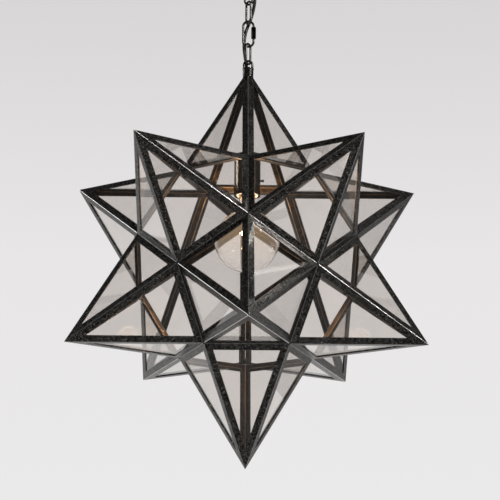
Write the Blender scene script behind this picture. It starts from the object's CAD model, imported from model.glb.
from math import acos, atan, atan2, cos, pi, radians, sin, sqrt, tan

import bmesh
import bpy
from mathutils import Matrix, Vector, noise


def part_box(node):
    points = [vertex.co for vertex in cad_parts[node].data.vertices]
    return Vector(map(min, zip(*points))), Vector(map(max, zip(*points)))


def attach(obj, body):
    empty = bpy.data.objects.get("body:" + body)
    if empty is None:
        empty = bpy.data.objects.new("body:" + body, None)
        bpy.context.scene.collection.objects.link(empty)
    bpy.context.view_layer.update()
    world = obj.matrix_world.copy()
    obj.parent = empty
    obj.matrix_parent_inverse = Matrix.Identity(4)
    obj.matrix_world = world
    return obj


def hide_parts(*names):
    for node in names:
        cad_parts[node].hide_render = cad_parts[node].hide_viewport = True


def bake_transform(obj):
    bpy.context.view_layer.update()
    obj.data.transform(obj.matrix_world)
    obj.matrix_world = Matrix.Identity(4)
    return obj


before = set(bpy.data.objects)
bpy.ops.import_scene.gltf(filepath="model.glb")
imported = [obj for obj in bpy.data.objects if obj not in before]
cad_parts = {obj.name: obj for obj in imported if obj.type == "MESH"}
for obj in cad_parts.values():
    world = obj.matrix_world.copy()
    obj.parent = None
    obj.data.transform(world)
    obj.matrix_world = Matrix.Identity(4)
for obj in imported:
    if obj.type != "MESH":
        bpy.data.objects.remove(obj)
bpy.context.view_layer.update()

# ---------------- sizes, in metres
STAR_Z = -0.4986016
STAR_R = 0.305
APEX_CUT = 0.013
FLANGE_W = 0.010
STRIP_T = 0.0012
BEND_R = 0.0005
GLAZING_DEPTH = 0.0033
GLAZING_BACK = 0.0041
GLAZING_W = 0.0085
GLAZING_TIP_GAP = 0.028
MITRE_SHIFT = 0.00005
LAP = 0.008
RIM_ROUND = 0.00025
SOLDER_R = 0.0055
SOLDER_GAP = 0.0003
DROP_R = 0.0026
DROP_SINK = 0.0014
DOOR_GAP = 0.0004
DOOR_K = 2
LOOP_WIRE, LOOP_H, COLLAR_R, COLLAR_H = 0.0036, 0.0287, 0.0082, 0.015
LINK_WIRE = 0.0035
SCREW_H, SCREW_W, SCREW_GAP, SCREW_END = 0.0446, 0.0194, 0.0044, 0.0016
CANOPY_R, CANOPY_H, CANOPY_WALL, CANOPY_HUB_R = 0.0635, 0.028, 0.0012, 0.0122
NIPPLE_HOLE_R, TUBE_BORE_R = 0.0053, 0.0035
CUP_Z, CUP_R, CUP_H, CUP_SHOULDER_H, CUP_TOP_R = 0.104, 0.02035, 0.066, 0.010, 0.010
CUP_WALL, CUP_RIM_R = 0.0008, 0.0007
GLOBE_R, GLOBE_Z, NECK_R, NECK_FILLET_R, BULB_WALL = 0.0475, 0.0348, 0.0124, 0.018, 0.0008
FILAMENT_Z = GLOBE_Z + 0.012
BASE_R, BASE_H = 0.0131, 0.022
UP = Vector((0, 0, 1))
STAR_CENTRE = Vector((0, 0, STAR_Z))

PHI = (1 + 5 ** 0.5) / 2
FACE_R_SHARE = 0.5 / sin(radians(36))
INNER_H_SHARE = sqrt((25 + 11 * 5 ** 0.5) / 10) / 2
EDGE = STAR_R / (INNER_H_SHARE + sqrt(PHI ** 2 - FACE_R_SHARE ** 2))
INNER_H = INNER_H_SHARE * EDGE
FACE_R = FACE_R_SHARE * EDGE
BELT_H = INNER_H * (5 ** 0.5 - 2)
TIP_RING_R = 2 * STAR_R / 5 ** 0.5
TIP_RING_H = STAR_R / 5 ** 0.5
FOLD = atan(PHI)


# ---------------- the star's corners
def ring_of_five(r, first, z):
    """Gives any of five points 72 degrees apart on a level ring."""
    def point(k):
        turn = radians(first + 72 * k)
        return Vector((r * sin(turn), -r * cos(turn), z))
    return point


top_corner = ring_of_five(FACE_R, 0, INNER_H)
high_corner = ring_of_five(PHI * FACE_R, 0, BELT_H)
low_corner = ring_of_five(PHI * FACE_R, 36, -BELT_H)
bottom_corner = ring_of_five(FACE_R, 36, -INNER_H)
upper_tip = ring_of_five(TIP_RING_R, 36, TIP_RING_H)
lower_tip = ring_of_five(TIP_RING_R, 0, -TIP_RING_H)


def upper_spike(k):
    return upper_tip(k), [
        top_corner(k), top_corner(k + 1), high_corner(k + 1), low_corner(k), high_corner(k)
    ]


def lower_spike(k):
    return lower_tip(k), [
        bottom_corner(k - 1), bottom_corner(k), low_corner(k), high_corner(k), low_corner(k - 1)
    ]


# Each spike as its tip and the five corners of its base
TOP_SPIKE = (Vector((0, 0, STAR_R)), [top_corner(k) for k in range(5)])
BOTTOM_SPIKE = (Vector((0, 0, -STAR_R)), [bottom_corner(k) for k in range(5)])
DOOR_SPIKE = lower_spike(DOOR_K)
FRAME_SPIKES = {
    "top_spike": TOP_SPIKE,
    **{f"upper_spike_{k + 1}": upper_spike(k) for k in range(5)},
    **{f"lower_spike_{k + 1}": lower_spike(k) for k in range(5) if k != DOOR_K},
    "bottom_spike": BOTTOM_SPIKE,
}
# Each valley as its two ends and the tips of the two spikes beside it
UPPER_VALLEYS = [
    (top_corner(k), top_corner(k + 1), TOP_SPIKE[0], upper_tip(k)) for k in range(5)
] + [(top_corner(k), high_corner(k), upper_tip(k - 1), upper_tip(k)) for k in range(5)]
BELT_VALLEYS = [
    (high_corner(k), low_corner(k), lower_tip(k), upper_tip(k)) for k in range(5)
] + [(high_corner(k), low_corner(k - 1), lower_tip(k), upper_tip(k - 1)) for k in range(5)]
LOWER_VALLEYS = [
    (low_corner(k), bottom_corner(k), lower_tip(k), lower_tip(k + 1)) for k in range(5)
] + [
    (bottom_corner(k - 1), bottom_corner(k), BOTTOM_SPIKE[0], lower_tip(k)) for k in range(5)
]
ALL_VALLEYS = UPPER_VALLEYS + BELT_VALLEYS + LOWER_VALLEYS


def same_point(p, q):
    return (p - q).length < 1e-6


def at_door(valley):
    return any(same_point(p, DOOR_SPIKE[0]) for p in valley[2:])


def edge_frame(a, b):
    """Frame at a with X across the edge, Y out of the star and Z along the edge."""
    along = (b - a).normalized()
    middle = (a + b) / 2
    out = (middle - middle.dot(along) * along).normalized()
    placed = Matrix((out.cross(along), out, along)).transposed().to_4x4()
    placed.translation = a
    return placed


def incentre(a, b, c):
    sides = (b - c).length, (c - a).length, (a - b).length
    return (sides[0] * a + sides[1] * b + sides[2] * c) / sum(sides)


# ---------------- pieces
def linked(name, data):
    """A new object that is in the scene."""
    made = bpy.data.objects.new(name, data)
    bpy.context.scene.collection.objects.link(made)
    return made


def made_mesh(name, bm):
    """The mesh of a bmesh, which is done with after it."""
    mesh = bpy.data.meshes.new(name)
    bm.to_mesh(mesh)
    bm.free()
    return mesh


def add_mesh(bm, mesh):
    bm.from_mesh(mesh)
    bpy.data.meshes.remove(mesh)


def finish_piece(name, bm, body, slot, replaced=(), sharp=40):
    """Turns a bmesh into a smooth-shaded piece that rides on a body. Edges that turn by
    more than sharp degrees stay crisp."""
    for face in bm.faces:
        face.smooth = True
    for edge in bm.edges:
        if len(edge.link_faces) == 2 and edge.calc_face_angle(0) > radians(sharp):
            edge.smooth = False
    mesh = made_mesh(name, bm)
    mesh.materials.append(MATERIALS[slot])
    piece = linked(name, mesh)
    if body:
        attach(piece, body)
    if replaced:
        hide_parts(*replaced)
    return piece


def cut(bm, point, outward):
    """Cuts off what lies beyond a plane and closes the cut."""
    bmesh.ops.bisect_plane(
        bm, geom=bm.verts[:] + bm.edges[:] + bm.faces[:], dist=1e-7,
        plane_co=point, plane_no=outward, clear_outer=True,
    )
    open_edges = [e for e in bm.edges if e.is_boundary]
    if open_edges:
        bmesh.ops.holes_fill(bm, edges=open_edges, sides=0)


def dressed_copy(name, node, body, slot, grow=0.0003, sharp=40):
    """A merged copy of a CAD node, with every corner over 30 degrees rounded."""
    bm = bmesh.new()
    bm.from_mesh(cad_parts[node].data)
    bmesh.ops.remove_doubles(bm, verts=bm.verts, dist=2e-6)
    bmesh.ops.dissolve_limit(
        bm, angle_limit=radians(1), verts=bm.verts, edges=bm.edges, delimit=set()
    )
    corners = [
        e for e in bm.edges
        if len(e.link_faces) == 2 and e.calc_face_angle(0) > radians(30)
    ]
    bmesh.ops.bevel(
        bm, geom=corners, offset=grow, segments=2, profile=0.5,
        affect="EDGES", material=-1, clamp_overlap=True,
    )
    piece = finish_piece(name, bm, body, slot, (node,), sharp)
    old_normals = piece.data.attributes.get("custom_normal")
    if old_normals:
        piece.data.attributes.remove(old_normals)
    return piece


# ---------------- folded strips
def folded_profile(kind, near, far, width):
    """Section of a folded strip between two depths: (across, out) all the way round. Kind
    is 1 where the fold points out of the star, on a ridge, and -1 in a valley."""
    arc_steps = 3

    def on_flange(u, depth):
        return (
            u * sin(FOLD) - kind * depth * cos(FOLD),
            -kind * u * cos(FOLD) - depth * sin(FOLD),
        )

    def arc(depth, radius):
        centre = -depth / sin(FOLD) - kind * radius / sin(FOLD)
        angles = [pi / 2 + (FOLD - pi / 2) * i / arc_steps for i in range(arc_steps + 1)]
        return [(radius * cos(t), centre + kind * radius * sin(t)) for t in angles]

    outer_bend = BEND_R + (far - near)
    near_r, far_r = (outer_bend, BEND_R) if kind > 0 else (BEND_R, outer_bend)
    c, soft = RIM_ROUND, 0.3 * RIM_ROUND
    rim = [(width - c, near), (width - soft, near + soft), (width, near + c),
           (width, far - c), (width - soft, far - soft), (width - c, far)]
    right = arc(near, near_r) + [on_flange(u, d) for u, d in rim] + arc(far, far_r)[::-1]
    return right + [(-x, y) for x, y in right[-2:0:-1]]


def strip_mesh(kind, near, far, width, edge, start=-LAP):
    """One folded strip in its edge's own frame, mitred at both ends. Its map holds the
    distance along it and the distance from its fold, below zero on the hollow side."""
    a, b, c1, c2 = edge
    to_local = edge_frame(a, b).inverted()
    length = (b - a).length
    bm = bmesh.new()
    ring = [bm.verts.new((x, y, start)) for x, y in folded_profile(kind, near, far, width)]
    swept = bmesh.ops.extrude_face_region(bm, geom=[bm.faces.new(ring)])
    bmesh.ops.translate(
        bm, vec=(0, 0, length + LAP - start),
        verts=[v for v in swept["geom"] if isinstance(v, bmesh.types.BMVert)],
    )
    bmesh.ops.recalc_face_normals(bm, faces=bm.faces)
    apex = to_local @ (MITRE_SHIFT * (edge_frame(a, b).to_3x3() @ Vector((0, 1, 0))))
    middle = to_local @ ((a + b) / 2)
    turn = to_local.to_3x3()
    for end in (a, b):
        for side in (c1, c2):
            outward = (turn @ end).cross(turn @ incentre(a, b, side)).normalized()
            if (middle - apex).dot(outward) > 0:
                outward.negate()
            cut(bm, apex, outward)
    layer = bm.loops.layers.uv.new("strip")
    bm.normal_update()
    for face in bm.faces:
        bulging = 1 if face.normal.y * kind > 0 else -1
        for loop in face.loops:
            across = abs(loop.vert.co.x) / sin(FOLD)
            loop[layer].uv = (loop.vert.co.z, bulging * across)
    return made_mesh("strip", bm)


def half_of(mesh, side, gap=0.0):
    """The flange on one side of a strip's fold, from a gap outwards."""
    bm = bmesh.new()
    bm.from_mesh(mesh)
    cut(bm, Vector((side * gap, 0, 0)), Vector((-side, 0, 0)))
    return made_mesh("flange", bm)


def door_side_of(valley):
    across = edge_frame(valley[0], valley[1]).to_3x3() @ Vector((1, 0, 0))
    return 1 if (DOOR_SPIKE[0] - valley[0]).dot(across) > 0 else -1


def cut_to_door(bm):
    """Keeps only the space that the opening spike may fill."""
    tip, base = DOOR_SPIKE
    axis = tip.normalized()
    side_angle = atan(EDGE / (2 * tan(radians(36))) / INNER_H)
    point = STAR_CENTRE + DOOR_GAP / sin(side_angle) * axis
    for i in range(5):
        outward = base[i].cross(base[(i + 1) % 5]).normalized()
        if outward.dot(axis) > 0:
            outward.negate()
        cut(bm, point, outward)


RIDGE_EDGE = (TOP_SPIKE[0], top_corner(0), top_corner(1), top_corner(4))
VALLEY_EDGE = UPPER_VALLEYS[0]


def on_ridges(mesh, spikes):
    return [(mesh, tip, corner) for tip, base in spikes for corner in base]


def on_frame_valleys(mesh, valleys):
    """Beside the opening spike only the frame's half of each strip."""
    return [(half_of(mesh, -door_side_of(v)) if at_door(v) else mesh, v[0], v[1])
            for v in valleys]


def on_door_valleys(mesh):
    """The opening spike's own half of the strips round its base."""
    return [(half_of(mesh, door_side_of(v), DOOR_GAP), v[0], v[1])
            for v in ALL_VALLEYS if at_door(v)]


def laid(strips, bm=None):
    """Strips in one bmesh, each placed on its edge from a to b."""
    if bm is None:
        bm = bmesh.new()
        bm.loops.layers.uv.new("strip")
    for mesh, a, b in strips:
        placed = mesh.copy()
        placed.transform(Matrix.Translation(STAR_CENTRE) @ edge_frame(a, b))
        add_mesh(bm, placed)
    return bm


def finish_strips(name, bm, body, slot, node):
    piece = finish_piece(name, bm, body, slot, (node,))
    piece.modifiers.new("flat faces stay flat", "WEIGHTED_NORMAL").keep_sharp = True


def build_strips():
    outer, inner = (0, STRIP_T, FLANGE_W), (GLAZING_DEPTH, GLAZING_BACK, GLAZING_W)
    ridge = strip_mesh(1, *outer, RIDGE_EDGE)
    valley = strip_mesh(-1, *outer, VALLEY_EDGE)
    inner_ridge = strip_mesh(1, *inner, RIDGE_EDGE, GLAZING_TIP_GAP)
    inner_valley = strip_mesh(-1, *inner, VALLEY_EDGE)

    for spike_name, spike in FRAME_SPIKES.items():
        bm = laid(on_ridges(ridge, [spike]))
        if spike_name == "top_spike":
            cut(bm, STAR_CENTRE + (STAR_R - APEX_CUT) * UP, UP)
        finish_strips(f"{spike_name}_strips", bm, "star", "iron", f"{spike_name}_bars")
    for valley_name, valleys in (
        ("upper_valleys", UPPER_VALLEYS), ("belt_valleys", BELT_VALLEYS),
        ("lower_valleys", LOWER_VALLEYS),
    ):
        finish_strips(f"{valley_name}_strips", laid(on_frame_valleys(valley, valleys)),
                      "star", "iron", valley_name)
    finish_strips("inner_ridge_strips", laid(on_ridges(inner_ridge, FRAME_SPIKES.values())),
                  "star", "glazing_iron", "ridge_glazing_strips")
    finish_strips("inner_valley_strips", laid(on_frame_valleys(inner_valley, ALL_VALLEYS)),
                  "star", "glazing_iron", "valley_glazing_strips")

    outside, inside = (laid(on_ridges(mesh, [DOOR_SPIKE])) for mesh in (ridge, inner_ridge))
    cut_to_door(outside)
    cut_to_door(inside)
    finish_strips("door_spike_strips", outside, "door", "iron", "door_spike_bars")
    finish_strips("door_rim_strips", laid(on_door_valleys(valley)), "door", "iron",
                  "door_base_strips")
    finish_strips("door_inner_strips", laid(on_door_valleys(inner_valley), inside), "door",
                  "glazing_iron", "door_glazing_strips")


def build_solder():
    """Lumps of solder inside every corner, and small drops on the corners outside."""
    reach = top_corner(0).length
    corner_lean = acos(INNER_H / reach)
    valley_lean = acos(EDGE / 2 / reach)
    inside_at = (reach - GLAZING_BACK / cos(corner_lean)
                 - (SOLDER_R + SOLDER_GAP) / sin(valley_lean))
    corners = [
        point for k in range(5)
        for point in (top_corner(k), high_corner(k), low_corner(k), bottom_corner(k))
    ]
    clear_of_door = [p for p in corners if not any(same_point(p, q) for q in DOOR_SPIKE[1])]
    lumps_per_metre = 260
    for name, replaced, at, radius, lumpiness, points in (
        ("solder_lumps_inside", ("solder_lumps",), inside_at, SOLDER_R, 0.34, corners),
        ("solder_drops_outside", (), reach - DROP_SINK, DROP_R, 0.3, clear_of_door),
    ):
        centres = [STAR_CENTRE + at * point.normalized() for point in points]
        bm = bmesh.new()
        for centre in centres:
            bmesh.ops.create_icosphere(
                bm, subdivisions=4, radius=radius, matrix=Matrix.Translation(centre)
            )
        for vert in bm.verts:
            centre = min(centres, key=lambda c: (c - vert.co).length_squared)
            coarse = noise.noise(vert.co * lumps_per_metre)
            fine = noise.noise(vert.co * 3 * lumps_per_metre)
            swell = 0.7 * coarse + 0.3 * fine
            vert.co = centre + (vert.co - centre) * (1 - lumpiness * (0.5 - 0.5 * swell))
        finish_piece(name, bm, "star", "solder", replaced, sharp=180)


# ---------------- turned and bent pieces
def rounded(points, radius=0.0003, steps=3):
    """Rounds every corner of a closed outline of (r, z) points that is off the axis. A
    third entry is that corner's own radius."""
    out = []
    for i, point in enumerate(points):
        p = Vector(point[:2])
        first, second = (Vector(points[j][:2]) - p for j in (i - 1, (i + 1) % len(points)))
        own = point[2] if len(point) > 2 else radius
        size = min(own, 0.45 * first.length, 0.45 * second.length)
        bend = first.angle(second, pi) if first.length and second.length else pi
        if p.x < 1e-6 or size < 1e-6 or abs(bend - pi) < 0.1:
            out.append(p)
            continue
        start, end = p + first.normalized() * size, p + second.normalized() * size
        for t in (s / steps for s in range(steps + 1)):
            out.append((1 - t) ** 2 * start + 2 * t * (1 - t) * p + t ** 2 * end)
    return out


def turned(bm, outline, steps):
    """Spins a closed outline of (r, z) points about the vertical axis."""
    part = bmesh.new()
    ring = [part.verts.new((r, 0, z)) for r, z in outline]
    edges = [part.edges.new((p, q)) for p, q in zip(ring, ring[1:] + ring[:1])
             if p.co.x > 1e-7 or q.co.x > 1e-7]
    bmesh.ops.spin(
        part, geom=ring + edges, cent=(0, 0, 0), axis=(0, 0, 1), angle=2 * pi,
        steps=steps, use_merge=True, use_duplicate=False,
    )
    bmesh.ops.remove_doubles(part, verts=part.verts, dist=1e-7)
    bmesh.ops.recalc_face_normals(part, faces=part.faces)
    add_mesh(bm, made_mesh("turned", part))


def turned_piece(name, outline, steps, body, slot, replaced=(), sharp=50):
    bm = bmesh.new()
    turned(bm, outline, steps)
    return finish_piece(name, bm, body, slot, replaced, sharp)


def bowl(hub, r, z, rise, steps):
    """A quarter curve of (r, z) points, upright at radius r and flat at the hub."""
    return [(hub + (r - hub) * cos(t), z + rise * sin(t))
            for t in (radians(90 * i / steps) for i in range(steps + 1))]


def rolled_rim(r, z, radius, up):
    """The bulge of a rolled rim as (r, z) points, for an opening that faces up or down."""
    return [(r + radius * sin(t), z + up * radius * cos(t))
            for t in map(radians, range(-60, 121, 20))]


THREAD_SAMPLES = 8  # points to one turn of a rolled thread


def rolled_thread(r, depth, low, high, turns, first=1):
    """Side of a rolled thread as (r, z) points, from a crest if first is 1, else a root."""
    samples = THREAD_SAMPLES * turns
    return [
        (r - depth * (0.5 - 0.5 * first * cos(2 * pi * i / THREAD_SAMPLES)),
         low + (high - low) * i / samples)
        for i in range(samples + 1)
    ]


def wire(points, radius, closed=False, swell=None, sides=6):
    """Mesh of a round wire that follows the points; swell scales it point by point."""
    curve = bpy.data.curves.new("wire", "CURVE")
    curve.dimensions = "3D"
    curve.bevel_depth = radius
    curve.bevel_resolution = sides
    curve.use_fill_caps = not closed
    spline = curve.splines.new("POLY")
    spline.points.add(len(points) - 1)
    for i, (knot, p) in enumerate(zip(spline.points, points)):
        knot.co = (*p, 1)
        knot.radius = swell[i] if swell else 1
    spline.use_cyclic_u = closed
    holder = bpy.data.objects.new("wire", curve)
    mesh = bpy.data.meshes.new_from_object(holder)
    bpy.data.objects.remove(holder)
    bpy.data.curves.remove(curve)
    return mesh


def wire_piece(name, points, radius, body, slot, replaced=(), **form):
    bm = bmesh.new()
    add_mesh(bm, wire(points, radius, **form))
    return finish_piece(name, bm, body, slot, replaced)


ARC_STEPS = 20


def arc_points(z, radius, first, last, turn=0.0):
    """Points of an upright arc about the axis at height z, turned about the axis."""
    out = []
    for i in range(ARC_STEPS + 1):
        t = radians(first + (last - first) * i / ARC_STEPS)
        x = radius * cos(t)
        out.append(Vector((x * cos(turn), x * sin(turn), z + radius * sin(t))))
    return out


# ---------------- loops and chain
def collar_loop(name, node, body, base_z, upside_down=False, turn=0.0):
    """A cast loop: turned collar with its bead, and a bent round bar on top."""
    bm = bmesh.new()
    r, bore, entry, floor = COLLAR_R, 0.00505, COLLAR_R - 0.0022, 0.006
    bead_low, bead_top, bead_r = COLLAR_H - 0.002, COLLAR_H - 0.0005, COLLAR_R + 0.0006
    turned(bm, rounded([
        (bore, 0, 0.0004), (r, 0, 0.0007), (r, 0.0016), (r - 0.0004, 0.0022),
        (r - 0.0004, 0.0030), (r, 0.0036), (r, bead_low - 0.0004), (bead_r, bead_low, 0.0006),
        (bead_r, bead_top, 0.0006), (r, COLLAR_H - 0.0001), (entry + 0.0006, COLLAR_H, 0.0008),
        (entry, COLLAR_H - 0.0012, 0.0008), (entry, floor, 0.0004), (bore, floor, 0.0004),
    ]), 64)
    bend, arch = COLLAR_R - LOOP_WIRE / 2, LOOP_H - COLLAR_R
    legs = [Vector((bend, 0, COLLAR_H - 0.0006)), Vector((bend, 0, (COLLAR_H + arch) / 2))]
    points = legs + arc_points(arch, bend, 0, 180)
    points += [Vector((-p.x, 0, p.z)) for p in legs[::-1]]
    add_mesh(bm, wire(points, LOOP_WIRE / 2))
    matrix = Matrix.Translation((0, 0, base_z)) @ Matrix.Rotation(turn, 4, "Z")
    if upside_down:
        matrix = matrix @ Matrix.Rotation(pi, 4, "X")
    bmesh.ops.transform(bm, matrix=matrix, verts=bm.verts)
    finish_piece(name, bm, body, "dark_nickel", (node,))


def oval_arcs(node, h, w, thick, turn=0.0):
    """Upper and lower bend of a link about the middle of its node, and that height."""
    low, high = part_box(node)
    middle, bend, leg = (low[2] + high[2]) / 2, (w - thick) / 2, h - w
    return (arc_points(middle + leg / 2, bend, 0, 180, turn),
            arc_points(middle - leg / 2, bend, 180, 360, turn), middle)


def oval_link(body, h, w, thick, turn):
    """A closed chain link, with the small swell of its weld on one leg."""
    top, low, _ = oval_arcs(body, h, w, thick, radians(turn))
    leg_steps = 9
    legs = [
        [first.lerp(last, i / (leg_steps + 1)) for i in range(1, leg_steps + 1)]
        for first, last in ((top[-1], low[0]), (low[-1], top[0]))
    ]
    points = top + legs[0] + low + legs[1]
    swell = [1.0] * len(points)
    weld_at = len(top) + leg_steps // 2
    swell[weld_at - 1:weld_at + 2] = [1.03, 1.06, 1.03]
    wire_piece(f"{body}_wire", points, thick / 2, body, "dark_nickel", (body,), closed=True,
               swell=swell, sides=8)


def screw_link():
    """The link that opens: its wire stops at both sides of a gap under the sleeve, with a
    cut thread on the lower end."""
    bend = (SCREW_W - LINK_WIRE) / 2
    top, low, middle = oval_arcs("screw_link", SCREW_H, SCREW_W, LINK_WIRE)
    gap_top = middle + (SCREW_H - SCREW_W) / 2 - SCREW_END
    gap_low = gap_top - SCREW_GAP
    pitch, turns, chamfer, crest, root = 0.0007, 5, 0.0003, 1.0, 0.88
    threaded, swell = [Vector((bend, 0, gap_low))], [0.8]
    for i in range(1, 2 * turns + 1):
        threaded.append(Vector((bend, 0, gap_low - (chamfer + i * pitch / 2))))
        swell.append(crest if i % 2 else root)
    for share in (0.35, 0.7):
        z = threaded[-1].z
        threaded.append(Vector((bend, 0, z + share * (low[-1].z - z))))
        swell.append(1.0)
    leg = [top[-1].lerp(low[0], i / 10) for i in range(1, 10)]
    plain = top + leg + low
    wire_piece("screw_link_wire", [Vector((bend, 0, gap_top))] + plain + threaded[::-1],
               LINK_WIRE / 2, "screw_link", "dark_nickel", ("screw_link",),
               swell=[0.92] + [1.0] * len(plain) + swell[::-1], sides=8)


def build_chain():
    oval_link("upper_link", h=0.040, w=0.0147, thick=0.0034, turn=0)
    oval_link("middle_link", h=0.040, w=0.0147, thick=0.0034, turn=-54)
    screw_link()
    oval_link("lower_link", h=0.036, w=0.015, thick=0.0035, turn=54)
    dressed_copy("screw_link_sleeve", "link_sleeve", "link_sleeve", "black_steel", 0.00018)
    collar_loop("star_loop_ring", "star_loop", "star", STAR_Z + STAR_R - APEX_CUT)
    collar_loop("canopy_loop_ring", "canopy_loop", "ceiling", -CANOPY_H, True, pi / 2)


# ---------------- cord
CORD_D = 0.005
CORD_ROUTE = [  # millimetres, from the canopy down the chain and through the stem tube
    (0, 0, -1), (0, 0, -16), (0, 0, -28), (1.7, 1.4, -40), (5, 3.5, -48), (8.2, 4, -56),
    (9.6, 3.2, -66), (9.6, 3.2, -80), (7.5, 5.5, -94), (4.5, 7, -106), (1.5, 7.4, -115),
    (-1.5, 7, -123), (-4, 6.2, -131), (-5.6, 5.8, -141), (-6.5, 5.8, -152), (-6, 5.8, -162),
    (-4.8, 5.7, -171), (-3.4, 5.2, -180), (-2, 2.5, -191), (-0.4, 0.5, -200), (0, 0, -207),
    (0, 0, -220), (0, 0, -260), (0, 0, -300), (0, 0, -345),
]
# Each part of the cord: where it ends, the bodies that it joins and the height of their hinge
CORD_PARTS = [
    (-0.069, "ceiling", "upper_link", -0.0549), (-0.101, "upper_link", "middle_link", -0.0877),
    (-0.136, "middle_link", "screw_link", -0.1195),
    (-0.168, "screw_link", "lower_link", -0.1564), (-0.345, "lower_link", "star", -0.1845),
]


def smooth_route(points, step):
    """Points close together on a smooth curve through the route."""
    given = [Vector(p) / 1000 for p in points]
    given = [2 * given[0] - given[1]] + given + [2 * given[-1] - given[-2]]
    out = []
    for p0, p1, p2, p3 in zip(given, given[1:], given[2:], given[3:]):
        pieces = max(2, round((p2 - p1).length / step))
        for t in (i / pieces for i in range(pieces)):
            out.append(0.5 * (2 * p1 + (p2 - p0) * t + (2 * p0 - 5 * p1 + 4 * p2 - p3) * t ** 2
                              + (3 * p1 - p0 - 3 * p2 + p3) * t ** 3))
    return out + [given[-2]]


def build_cord():
    """The black cord in five lengths end to end, each of which bends over one hinge."""
    route = smooth_route(CORD_ROUTE, 0.0015)
    first, half = 0, 0.010
    for number, (end_z, upper, lower, hinge_z) in enumerate(CORD_PARTS, 1):
        last = min(range(len(route)), key=lambda i: abs(route[i].z - end_z))
        path = route[first:last + 1]
        piece = wire_piece(f"cord_{number}", path, CORD_D / 2, None, "cord_black",
                           ("cord",) if number == 1 else ())
        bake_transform(piece)
        first = last


# ---------------- canopy and its fastening
def threaded_tube(name, node, body, slot, plain_low=0.0, plain_high=0.0):
    """A tube in the place of a CAD node, with rolled thread rings where it isn't plain."""
    low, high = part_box(node)
    outer, z_low, z_high = (high[0] - low[0]) / 2, low[2], high[2]
    pitch, depth = 0.001, 0.00022
    outline = [(TUBE_BORE_R, z_low)]
    rings = round((z_high - z_low) / pitch)
    for i in range(rings):
        z = z_low + (i + 0.5) * (z_high - z_low) / rings
        if not plain_low < z < plain_high:
            outline += [(outer - depth, z - 0.4 * pitch), (outer, z - 0.1 * pitch),
                        (outer, z + 0.1 * pitch), (outer - depth, z + 0.4 * pitch)]
    outline.append((TUBE_BORE_R, z_high))
    turned_piece(name, outline, 40, body, slot, (node,))


def build_canopy():
    """Spun canopy with a rolled rim and a raised ring round its hub."""
    wall, lip, rim_r = CANOPY_WALL, 0.004, 0.0013
    outer, inner = (
        bowl(CANOPY_HUB_R, CANOPY_R - inset, -lip, lip - (CANOPY_H - inset), 18)
        for inset in (0, wall)
    )
    beads = (0.0012, 0.0001), (0.0004, 0.0009), (-0.0010, 0.0009), (-0.0018, 0)
    ring = [(CANOPY_HUB_R + out, -CANOPY_H - down) for out, down in beads]
    outline = (rolled_rim(CANOPY_R - 0.0008, -rim_r, rim_r, 1) + outer[:-1] + ring
               + [(NIPPLE_HOLE_R, -CANOPY_H), (NIPPLE_HOLE_R, -CANOPY_H + wall)] + inner[::-1])
    turned_piece("canopy_shell", outline, 120, "ceiling", "bronze", ("canopy",))
    dressed_copy("ceiling_strap", "mounting_strap", "ceiling", "zinc", 0.0004)
    dressed_copy("lock_nuts_top", "nipple_nuts", "ceiling", "zinc")
    threaded_tube("nipple_tube", "nipple", "ceiling", "zinc")


# ---------------- socket
def in_star(points):
    return [(r, STAR_Z + z) for r, z in points]


def build_socket():
    wall, top = CUP_WALL, CUP_Z + CUP_H

    def shoulder(r, z):
        return bowl(CUP_TOP_R, r, z - CUP_SHOULDER_H, CUP_SHOULDER_H, 14)

    outline = (
        rolled_rim(CUP_R - 0.0004, CUP_Z + CUP_RIM_R, CUP_RIM_R, -1)
        + [(CUP_R, CUP_Z + 0.0020)] + shoulder(CUP_R, top)
        + [(NIPPLE_HOLE_R, top), (NIPPLE_HOLE_R, top - wall)]
        + shoulder(CUP_R - wall, top - wall)[::-1] + [(CUP_R - wall, CUP_Z + 0.0014)]
    )
    turned_piece("socket_cup_shell", in_star(outline), 96, "star", "bronze", ("socket_cup",))

    low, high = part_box("cup_screw")
    dressed_copy("cup_side_screw", "cup_screw", "star", "dark_nickel")
    slot_at = Matrix.Translation((high[0], 0, (low[2] + high[2]) / 2))
    slot_size = Matrix.Diagonal((0.0004, 0.0006, 0.0036, 1))
    slot_cut = bmesh.new()
    bmesh.ops.create_cube(slot_cut, size=1.0, matrix=slot_at @ slot_size)
    bmesh.ops.bevel(slot_cut, geom=slot_cut.edges[:], offset=0.0001, segments=1, profile=0.5,
                    affect="EDGES", material=-1)
    finish_piece("screw_slot_shadow", slot_cut, "star", "black_steel")
    dressed_copy("socket_body", "socket_insulator", "star", "porcelain", 0.0005)

    low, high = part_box("socket_contacts")
    shell_r, shell_wall, depth = (high[0] - low[0]) / 2, 0.0005, 0.00022
    sides = CUP_Z + 0.0015, CUP_Z + 0.0245, 6
    bm = bmesh.new()
    turned(bm, in_star(
        rolled_thread(shell_r, depth, *sides)
        + rolled_thread(shell_r - shell_wall + 0.0001, 0.4 * depth, *sides)[::-1]
    ), 64)
    contact_low, contact_r, contact_h = high[2] - STAR_Z - 0.0016, 0.004, 0.0016
    turned(bm, in_star(rounded([
        (0, contact_low), (contact_r - 0.0004, contact_low, 0.0006),
        (contact_r, contact_low + 0.0006), (contact_r, contact_low + contact_h),
        (0, contact_low + contact_h),
    ])), 40)
    finish_piece("screw_shell", bm, "star", "brass", ("socket_contacts",), 50)

    threaded_tube("stem_pipe", "stem_tube", "star", "bronze",
                  STAR_Z + CUP_Z + CUP_H + 0.012, STAR_Z + STAR_R - APEX_CUT - 0.002)
    dressed_copy("stem_lock_nuts", "stem_nuts", "star", "dark_nickel")


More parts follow.
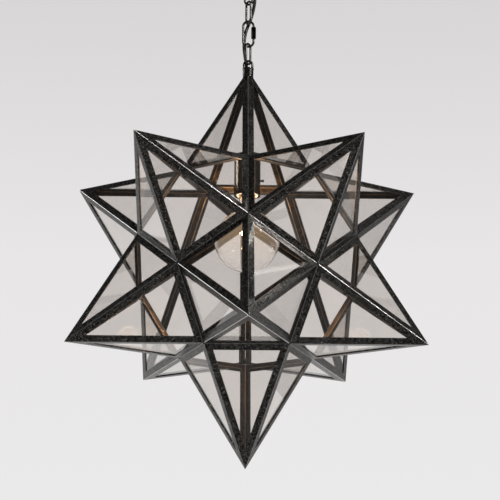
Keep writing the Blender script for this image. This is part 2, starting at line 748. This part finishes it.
# ---------------- bulb
def build_bulb():
    """Globe bulb: thin blown glass, screw base, glass mount, lead wires and coiled filament."""
    base_top = CUP_Z + 0.0186
    base_low = base_top - BASE_H
    skirt = base_low + 0.005

    def blown(wall):
        """Side of the glass at a depth in its wall: the globe, then the fillet to its neck."""
        r, fillet, neck = GLOBE_R - wall, NECK_FILLET_R + wall, NECK_R - wall
        out = neck + fillet
        rise = sqrt((r + fillet) ** 2 - out ** 2)
        turn = atan2(rise, out)
        globe = [
            (r * cos(t), GLOBE_Z + r * sin(t))
            for t in (-pi / 2 + (pi / 2 + turn) * i / 56 for i in range(57))
        ]
        curve = [
            (out - fillet * cos(t), GLOBE_Z + rise - fillet * sin(t))
            for t in (turn * (1 - i / 14) for i in range(1, 15))
        ]
        return globe + curve + [(neck, skirt)]

    globe = turned_piece("bulb_globe", in_star(blown(0) + blown(BULB_WALL)[::-1]), 96, "bulb",
                         "bulb_glass", ("bulb_glass",), 60)

    inside, r = NECK_R + 0.0001, BASE_R
    skin = [(inside, base_low), (r - 0.0003, base_low), (r - 0.0001, base_low + 0.0008),
            (r - 0.0004, base_low + 0.0028)]
    skin += rolled_thread(r, 0.0007, base_low + 0.0035, base_top - 0.0015, 5, first=-1)
    skin += [(r - 0.0012, base_top - 0.0004), (r - 0.0024, base_top), (0.004, base_top),
             (0.004, base_top - 0.0018), (inside, base_top - 0.0021)]
    turned_piece("bulb_screw_base", in_star(skin), 72, "bulb", "brass", ("bulb_base",))

    def above_base(*points):
        return [(p[0], base_top + p[1], *p[2:]) for p in points]

    turned_piece("base_black_glass", in_star(rounded(above_base(
        (0, 0), (0.0112, 0, 0.0004), (0.0050, 0.003, 0.001), (0.0040, 0.0034), (0, 0.0034),
    ))), 48, "bulb", "black_glass", ("bulb_contact",))
    turned_piece("base_solder_tip", in_star(above_base(
        (0, 0.0032), (0.0037, 0.0032), (0.0036, 0.0036), (0.0024, 0.0039), (0, 0.0040),
    )), 32, "bulb", "solder", (), 60)

    stem_low, flare_r = GLOBE_Z + 0.022, NECK_R - BULB_WALL - 0.00025
    stem = turned_piece("glass_stem", in_star(rounded([
        (0, stem_low, 0), (0.0032, stem_low, 0.0010), (0.0040, stem_low + 0.004, 0.001),
        (0.0036, stem_low + 0.012, 0.004), (0.0040, skirt - 0.014, 0.006),
        (0.0064, skirt - 0.006, 0.006), (flare_r, skirt - 0.0004, 0.0008),
        (flare_r, skirt + 0.002), (flare_r - 0.0008, skirt + 0.002),
        (0.0052, skirt - 0.005, 0.004), (0.0014, skirt - 0.012, 0.002), (0, skirt - 0.013),
    ], steps=5)), 56, "bulb", "bulb_glass", ("bulb_mount",), 60)
    for clear in (globe, stem):
        clear.visible_diffuse = False

    spread, wire_z, droop = 0.011, STAR_Z + FILAMENT_Z, 0.0012
    bm = bmesh.new()
    for side in (-1, 1):
        start = Vector((side * 0.0020, 0, STAR_Z + stem_low + 0.006))
        foot = Vector((side * 0.0021, 0, STAR_Z + stem_low - 0.0005))
        tip = Vector((side * spread, 0, wire_z))
        bent = [foot.lerp(tip, t) + Vector((0, 0, -droop * sin(pi * t)))
                for t in (0.2, 0.4, 0.6, 0.8)]
        hook = tip + Vector((side * 0.0004, 0, 0.0008))
        add_mesh(bm, wire([start, foot] + bent + [tip, hook], 0.00035, sides=4))
    finish_piece("lead_wires", bm, "bulb", "dark_nickel")

    turns, steps, reach, coil_r, sag, tail = 26, 8, spread - 0.0009, 0.00042, 0.0008, 0.0009
    coil = []
    for i in range(turns * steps + 1):
        t = i / (turns * steps)
        angle = 2 * pi * i / steps
        coil.append(Vector((
            -reach + 2 * reach * t, coil_r * cos(angle),
            wire_z - sag * sin(pi * t) + coil_r * sin(angle),
        )))
    tail_by = Vector((tail, 0, 0))
    wire_piece("coiled_filament", [coil[0] - tail_by] + coil + [coil[-1] + tail_by], 0.00016,
               "bulb", "filament", ("bulb_filament",), sides=2)


# ---------------- the spike that opens
def build_door_fittings():
    for name, node, body, slot, sharp in (
        ("star_hinge_leaf", "frame_hinge_leaf", "star", "dark_nickel", 40),
        ("spike_hinge_leaf", "door_hinge_leaf", "door", "dark_nickel", 40),
        ("hinge_pin_round", "hinge_pin", "star", "black_steel", 40),
        ("spring_catch", "door_catch", "star", "dark_nickel", 40),
        ("spike_pull_knob", "door_pull", "door", "dark_nickel", 60),
    ):
        dressed_copy(name, node, body, slot, 0.0002, sharp)


# ---------------- node materials
def feed(node, inputs):
    """Gives each named input of a node its value, or the socket that feeds it."""
    for key, value in inputs.items():
        if isinstance(value, bpy.types.NodeSocket):
            node.id_data.links.new(value, node.inputs[key])
        else:
            node.inputs[key].default_value = value


def add(tree, kind, inputs=None, prefix="ShaderNode", **settings):
    made = tree.nodes.new(prefix + kind)
    for key, value in settings.items():
        setattr(made, key, value)
    feed(made, inputs or {})
    return made


def mixed(tree, factor, first, second):
    """Mixes two colours."""
    return add(tree, "Mix", {0: factor, 6: first, 7: second}, data_type="RGBA").outputs[2]


def fitted(tree, value, low, high, to_low=0.0, to_high=1.0, smooth=True):
    return add(tree, "MapRange", {0: value, 1: low, 2: high, 3: to_low, 4: to_high},
               interpolation_type="SMOOTHSTEP" if smooth else "LINEAR").outputs[0]


def maths(tree, operation, first, second=0.0):
    return add(tree, "Math", {0: first, 1: second}, operation=operation).outputs[0]


def weighed(tree, first, share, second):
    """Sum of a share of one value and the rest of another."""
    return maths(tree, "ADD", maths(tree, "MULTIPLY", first, share),
                 maths(tree, "MULTIPLY", second, 1 - share))


def grain(tree, vector, scale, detail=4.0, roughness=0.55):
    return add(tree, "TexNoise", {"Vector": vector, "Scale": scale, "Detail": detail,
                                  "Roughness": roughness}).outputs[0]


def bumped(tree, relief, height):
    return add(tree, "Bump", {"Strength": relief, "Distance": RELIEF_DEPTH,
                              "Height": height}).outputs[0]


def object_place(tree):
    return add(tree, "TexCoord").outputs["Object"]


def colour(tone):
    return (*tone, 1.0)


def new_group(name, inputs, outputs):
    """A node group, with the kind of each of its named sockets."""
    tree = bpy.data.node_groups.new(name, "ShaderNodeTree")
    for in_out, sockets in (("INPUT", inputs), ("OUTPUT", outputs)):
        for socket, kind in sockets.items():
            tree.interface.new_socket(socket, in_out=in_out, socket_type=f"NodeSocket{kind}")
    given = add(tree, "GroupInput", prefix="Node").outputs
    return tree, given, add(tree, "GroupOutput", prefix="Node")


def mottle_group():
    """Patches, fine grain and pale specks of a darkened metal, over Object coordinates."""
    tree, given, result = new_group("mottled finish", {
        "Patch Scale": "Float", "Grain Scale": "Float", "Deep": "Color", "Pale": "Color",
        "Speck": "Color", "Speck Share": "Float", "Smoothest": "Float", "Roughest": "Float",
    }, {"Colour": "Color", "Roughness": "Float", "Height": "Float"})
    place = object_place(tree)
    patch = grain(tree, place, given["Patch Scale"], 5.0, 0.6)
    fine = grain(tree, place, given["Grain Scale"], 3.0, 0.6)
    cells = add(tree, "TexVoronoi", {"Vector": place, "Scale": maths(
        tree, "MULTIPLY", given["Grain Scale"], 0.9)}, feature="F1").outputs["Distance"]
    blotch = fitted(tree, weighed(tree, patch, 0.6, fine), 0.4, 0.62)
    ground = mixed(tree, blotch, given["Deep"], given["Pale"])
    share = maths(tree, "MULTIPLY", given["Speck Share"], 0.3)
    threshold = maths(tree, "SUBTRACT", 0.72, share)
    specks = fitted(tree, fine, threshold, maths(tree, "ADD", threshold, 0.08))
    specks = maths(tree, "MULTIPLY", specks, fitted(tree, cells, 0.55, 0.25))
    rough = fitted(tree, weighed(tree, patch, 0.5, fine), 0.3, 0.7,
                   given["Smoothest"], given["Roughest"], smooth=False)
    feed(result, {"Colour": mixed(tree, specks, ground, given["Speck"]), "Roughness": rough,
                  "Height": weighed(tree, fine, 0.6, patch)})
    return tree


def wear_group():
    """Where a folded strip is rubbed bright: along its fold, less on the hollow side, and
    along its rims. Both lines wander by the stray width."""
    rim_width, stray_width, hollow_share = 0.0006, 0.0007, 0.6
    tree, given, result = new_group("rubbed fold and rims", {
        "Fold Width": "Float", "Rim At": "Float",
    }, {"Fold": "Float", "Rim": "Float"})
    place = object_place(tree)
    strip_map = add(tree, "UVMap", uv_map="strip").outputs[0]
    signed = add(tree, "SeparateXYZ", {0: strip_map}).outputs["Y"]
    across = maths(tree, "ABSOLUTE", signed)
    rough = maths(tree, "SUBTRACT", grain(tree, place, 420.0, 4.0, 0.65), 0.5)
    slow = maths(tree, "SUBTRACT", grain(tree, place, 55.0, 2.0), 0.5)
    stray = maths(tree, "MULTIPLY", maths(tree, "ADD", rough, slow), stray_width)
    fold = fitted(tree, maths(tree, "ADD", across, stray), given["Fold Width"],
                  maths(tree, "MULTIPLY", given["Fold Width"], 0.35))
    bulging = fitted(tree, signed, -2e-5, -1e-5, hollow_share, 1.0)
    from_rim = maths(tree, "ABSOLUTE", maths(tree, "SUBTRACT", across, given["Rim At"]))
    rim = fitted(tree, maths(tree, "ADD", from_rim, stray), rim_width, 0.0)
    feed(result, {"Fold": maths(tree, "MULTIPLY", fold, bulging), "Rim": rim})
    return tree


MOTTLE, WEAR = mottle_group(), wear_group()
RELIEF_DEPTH = 0.0002


def new_material(name, **sockets):
    """A material with plain values on its shader's own sockets."""
    material = bpy.data.materials.new(name)
    material.use_nodes = True
    shader = material.node_tree.nodes["Principled BSDF"]
    feed(shader, {key.replace("_", " "): value for key, value in sockets.items()})
    return material, material.node_tree, shader


def mottled_metal(name, deep, pale, speck, share, smoothest, roughest, patch, relief,
                  fine=700.0, metallic=1.0, wear=None):
    """A darkened metal: ground and speck colours, share of specks, range of roughness and
    scales of its patches and grain. wear = bright colour, its roughness, width of the
    rubbed fold, distance of the rims from the fold and how strongly the rims are rubbed."""
    material, tree, shader = new_material(name, Metallic=metallic)
    mottle = add(tree, "Group", {
        "Patch Scale": patch, "Grain Scale": fine, "Deep": colour(deep), "Pale": colour(pale),
        "Speck": colour(speck), "Speck Share": share, "Smoothest": smoothest,
        "Roughest": roughest,
    }, node_tree=MOTTLE).outputs
    tint, rough, height = mottle["Colour"], mottle["Roughness"], mottle["Height"]
    if wear:
        bright, bright_rough, fold_width, rim_at, rim_share = wear
        rubbed = add(tree, "Group", {"Fold Width": fold_width, "Rim At": rim_at},
                     node_tree=WEAR).outputs
        mask = maths(tree, "MAXIMUM", rubbed["Fold"],
                     maths(tree, "MULTIPLY", rubbed["Rim"], rim_share))
        tint = mixed(tree, mask, tint, colour(bright))
        rough = fitted(tree, mask, 0.0, 1.0, rough, bright_rough, smooth=False)
        height = maths(tree, "MULTIPLY", height, maths(tree, "SUBTRACT", 1.0, rubbed["Fold"]))
    feed(shader, {"Base Color": tint, "Roughness": rough,
                  "Normal": bumped(tree, relief, height)})
    return material


def clear_glass(name, tint, second_tint, roughness, ior=1.5, glow=None, lit=0.0):
    """Glass that lets the lamps through: slightly uneven in tint and polish. Glow is the
    colour that the lit filament lends it below and above the middle of the globe."""
    material, tree, shader = new_material(name, IOR=ior, Transmission_Weight=1.0)
    place = object_place(tree)
    cloud = fitted(tree, grain(tree, place, 14.0, 3.0), 0.35, 0.65)
    smear = fitted(tree, grain(tree, place, 90.0, 4.0, 0.6), 0.55, 0.75, 0.0, roughness)
    feed(shader, {"Base Color": mixed(tree, cloud, colour(tint), colour(second_tint)),
                  "Roughness": smear})
    if glow:
        middle, reach = STAR_Z + GLOBE_Z, 0.03
        up = add(tree, "SeparateXYZ", {0: place}).outputs["Z"]
        near = fitted(tree, up, middle - reach, middle + reach)
        feed(shader, {"Emission Color": mixed(tree, near, colour(glow[0]), colour(glow[1])),
                      "Emission Strength": lit})
    let_through = add(tree, "BsdfTransparent")
    choice = add(tree, "MixShader", {0: add(tree, "LightPath").outputs["Is Shadow Ray"],
                                     1: shader.outputs[0], 2: let_through.outputs[0]})
    feed(tree.nodes["Material Output"], {"Surface": choice.outputs[0]})
    return material


def glazed(name, deep, pale, rough_low, rough_high, scale, relief, **sockets):
    """Porcelain, cord and black glass: a body colour with soft variation and relief."""
    material, tree, shader = new_material(name, **sockets)
    place = object_place(tree)
    cloud = grain(tree, place, scale, 4.0)
    patches = fitted(tree, cloud, 0.35, 0.65)
    feed(shader, {
        "Base Color": mixed(tree, patches, colour(deep), colour(pale)),
        "Roughness": fitted(tree, cloud, 0.3, 0.7, rough_low, rough_high),
        "Normal": bumped(tree, relief, grain(tree, place, 6 * scale, 3.0)),
    })
    return material


def glowing_wire(name, hot, cool, strength):
    material, tree, shader = new_material(name, Roughness=0.5, Emission_Strength=strength)
    heat = fitted(tree, grain(tree, object_place(tree), 500.0, 2.0), 0.3, 0.7)
    glow = mixed(tree, heat, colour(cool), colour(hot))
    feed(shader, {"Emission Color": glow, "Base Color": glow})
    return material


MATERIALS = {  # the finish of each slot
    "iron": mottled_metal(
        "blackened strip", (0.012, 0.011, 0.009), (0.085, 0.080, 0.073), (0.60, 0.59, 0.57),
        0.6, 0.22, 0.40, patch=210.0, relief=0.3, fine=720.0, metallic=0.9,
        wear=((0.56, 0.55, 0.54), 0.24, 0.0007, FLANGE_W, 0.22)),
    "glazing_iron": mottled_metal(
        "brown inner strip", (0.006, 0.004, 0.003), (0.042, 0.030, 0.020),
        (0.36, 0.28, 0.19), 0.5, 0.28, 0.46, patch=160.0, relief=0.25, fine=1000.0,
        metallic=0.9, wear=((0.48, 0.34, 0.21), 0.28, 0.0008, GLAZING_W, 0.8)),
    "solder": mottled_metal(
        "black solder", (0.012, 0.012, 0.012), (0.055, 0.053, 0.05), (0.3, 0.3, 0.29),
        0.35, 0.28, 0.5, patch=150.0, relief=0.35, fine=900.0),
    "zinc": mottled_metal(
        "zinc plating", (0.28, 0.28, 0.27), (0.5, 0.5, 0.48), (0.66, 0.65, 0.6),
        0.4, 0.25, 0.45, patch=90.0, relief=0.1),
    "dark_nickel": mottled_metal(
        "dark nickel", (0.045, 0.043, 0.04), (0.12, 0.116, 0.108), (0.26, 0.25, 0.24),
        0.2, 0.2, 0.28, patch=120.0, relief=0.04, fine=500.0),
    "black_steel": mottled_metal(
        "black steel", (0.008, 0.008, 0.008), (0.025, 0.025, 0.024), (0.12, 0.12, 0.12),
        0.3, 0.2, 0.38, patch=140.0, relief=0.15, fine=900.0),
    "bronze": mottled_metal(
        "dark bronze", (0.15, 0.118, 0.095), (0.27, 0.215, 0.17), (0.40, 0.32, 0.25),
        0.25, 0.12, 0.2, patch=70.0, relief=0.08),
    "brass": mottled_metal(
        "lamp brass", (0.50, 0.36, 0.15), (0.74, 0.56, 0.27), (0.82, 0.68, 0.40),
        0.3, 0.2, 0.36, patch=110.0, relief=0.08),
    "porcelain": glazed(
        "porcelain", (0.74, 0.71, 0.65), (0.84, 0.82, 0.78), 0.12, 0.3, 120.0, 0.05,
        Coat_Weight=0.4),
    "cord_black": glazed(
        "black cord cover", (0.010, 0.010, 0.010), (0.022, 0.021, 0.020), 0.32, 0.45,
        260.0, 0.1),
    "black_glass": glazed(
        "black glass", (0.006, 0.006, 0.007), (0.014, 0.014, 0.015), 0.08, 0.2,
        150.0, 0.03),
    "pane_glass": clear_glass(
        "pane glass", (0.905, 0.878, 0.853), (0.885, 0.864, 0.842), 0.02),
    "bulb_glass": clear_glass(
        "bulb glass", (0.995, 0.99, 0.985), (0.985, 0.98, 0.975), 0.01, ior=1.4,
        glow=((1.0, 0.90, 0.84), (1.7, 1.15, 0.62)), lit=0.045),
    "filament": glowing_wire(
        "glowing filament", (1.0, 0.62, 0.26), (1.0, 0.46, 0.14), 60.0),
}


# ---------------- light, floor and camera
BACKDROP = (  # how far up the sky, and its tone there
    (0.10, (0.831, 0.823, 0.823)), (0.24, (0.807, 0.791, 0.799)), (0.38, (0.680, 0.665, 0.672)),
)
FRONT_GLOOM = (0.055, 0.054, 0.054)
ROOM_LIGHT = (0.50, 0.495, 0.50)
FLOOR_Z, FLOOR_R = -2.4, 14
FLOOR_BODY, FLOOR_TONE = (0.32, 0.32, 0.32), (0.56, 0.555, 0.55)
LIGHTS = (  # place and aim from the star's centre, power, tint and size
    ("key light", "AREA", (3.6, -3.1, 2.5), (0, 0, 0), 168.0, (1.0, 0.985, 0.97), 1.1),
    ("small high light", "AREA", (0.320, -0.141, 0.354), (0.006, -0.203, -0.03), 0.30,
     (1.0, 0.99, 0.98), 0.005),
    ("left soft light", "AREA", (-2.89, 0.83, 1.07), (0, 0, 0), 16.0, (0.93, 0.97, 1.0), 1.2),
    ("filament light", "POINT", (0, 0, FILAMENT_Z), (0, 0, 0), 1.0, (1.0, 0.70, 0.44), 0.008),
)


def turned_aside(tree):
    """Whether the ray was mirrored, and whether it was scattered, anywhere on its way."""
    light_path = add(tree, "LightPath").outputs
    return [maths(tree, "GREATER_THAN", light_path[depth], 0.5)
            for depth in ("Glossy Depth", "Diffuse Depth")]


def world_light():
    """A pale backdrop for what looks straight at it or through glass. Mirrored rays see it
    behind the star and gloom in front, and scattered rays get an even room light."""
    world = bpy.data.worlds.new("studio")
    bpy.context.scene.world = world
    world.use_nodes = True
    tree = world.node_tree
    tree.nodes.clear()
    way = add(tree, "SeparateXYZ", {0: add(tree, "TexCoord").outputs["Generated"]}).outputs
    ramp = add(tree, "ValToRGB", {0: way["Z"]})
    ramp.color_ramp.elements.new(BACKDROP[1][0])
    for element, (position, tone) in zip(ramp.color_ramp.elements, BACKDROP):
        element.position, element.color = position, colour(tone)
    leftward = maths(tree, "MULTIPLY", way["X"], 0.15)
    toward_back = fitted(tree, maths(tree, "SUBTRACT", way["Y"], leftward), 0.6, 0.95)
    mirrored = mixed(tree, toward_back, colour(FRONT_GLOOM), ramp.outputs[0])
    was_mirrored, was_scattered = turned_aside(tree)
    tone = mixed(tree, was_mirrored, ramp.outputs[0], mirrored)
    tone = mixed(tree, was_scattered, tone, colour(ROOM_LIGHT))
    background = add(tree, "Background", {"Color": tone, "Strength": 1.0})
    add(tree, "OutputWorld", {"Surface": background.outputs[0]})


def add_light(name, kind, at, aim, power, tint, size):
    lamp = bpy.data.lights.new(name, kind)
    lamp.energy = power
    lamp.color = tint
    if kind == "AREA":
        lamp.shape = "DISK"
        lamp.size = size
    else:
        lamp.shadow_soft_size = size
    holder = linked(name, lamp)
    holder.visible_camera = False
    at, aim = STAR_CENTRE + Vector(at), STAR_CENTRE + Vector(aim)
    holder.location = at
    holder.rotation_euler = (at - aim).to_track_quat("Z", "Y").to_euler()


def build_floor():
    """A pale floor that shines by itself, but not for scattered rays, nor for mirrored ones
    on the near side."""
    bm = bmesh.new()
    bmesh.ops.create_circle(bm, cap_ends=True, segments=96, radius=FLOOR_R,
                            matrix=Matrix.Translation((0, 0, FLOOR_Z)))
    floor = linked("pale_floor", made_mesh("pale_floor", bm))
    material, tree, shader = new_material(
        "pale floor", Base_Color=colour(FLOOR_BODY), Roughness=0.9, Emission_Strength=1.0
    )
    was_mirrored, was_scattered = turned_aside(tree)
    away = add(tree, "SeparateXYZ", {0: object_place(tree)}).outputs["Y"]
    near_side = fitted(tree, away, 0.5, 3.0, 1.0, 0.0)
    aside = maths(tree, "MAXIMUM", was_scattered,
                  maths(tree, "MULTIPLY", was_mirrored, near_side))
    feed(shader, {"Emission Color": mixed(tree, aside, colour(FLOOR_TONE), colour((0, 0, 0)))})
    floor.data.materials.append(material)


def build_camera():
    """Camera fitted to thirteen corners of the star, in star radii and degrees."""
    distance, elevation, azimuth, roll = 8.8192, -13.7775, -0.5708, 0.3973
    focal_px, aim_right, aim_up, image_px, sensor = 1814.84, 0.0157, 0.0691, 500, 36.0
    el, az = radians(elevation), radians(azimuth)
    back = Vector((sin(az) * cos(el), -cos(az) * cos(el), sin(el)))
    level_right = (-back).cross(UP).normalized()
    level_up = level_right.cross(-back)
    aim = level_right * aim_right + level_up * aim_up
    at = back * distance
    forward = (aim - at).normalized()
    right = forward.cross(UP).normalized()
    up = right.cross(forward)
    turn = radians(roll)
    right, up = (right * cos(turn) + up * sin(turn),
                 up * cos(turn) - right * sin(turn))
    lens = bpy.data.cameras.new("photo camera")
    lens.sensor_width = sensor
    lens.lens = focal_px / image_px * sensor
    lens.clip_start, lens.clip_end = 0.05, 60
    camera = linked("photo camera", lens)
    matrix = Matrix((right, up, -forward)).transposed().to_4x4()
    matrix.translation = at * STAR_R + STAR_CENTRE
    camera.matrix_world = matrix
    bpy.context.scene.camera = camera


def light_and_camera():
    world_light()
    for light in LIGHTS:
        add_light(*light)
    build_floor()
    build_camera()
    scene = bpy.context.scene
    scene.view_settings.view_transform = "Standard"
    for limit in ("max_bounces", "transmission_bounces", "transparent_max_bounces"):
        setattr(scene.cycles, limit, 32)


# ---------------- the whole lantern
build_cord()
build_strips()
build_solder()
build_chain()
build_canopy()
build_socket()
build_bulb()
build_door_fittings()
for node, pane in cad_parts.items():
    if node.endswith("_glass") and node != "bulb_glass":
        pane.data.materials.clear()
        pane.data.materials.append(MATERIALS["pane_glass"])
        pane.visible_diffuse = False
light_and_camera()
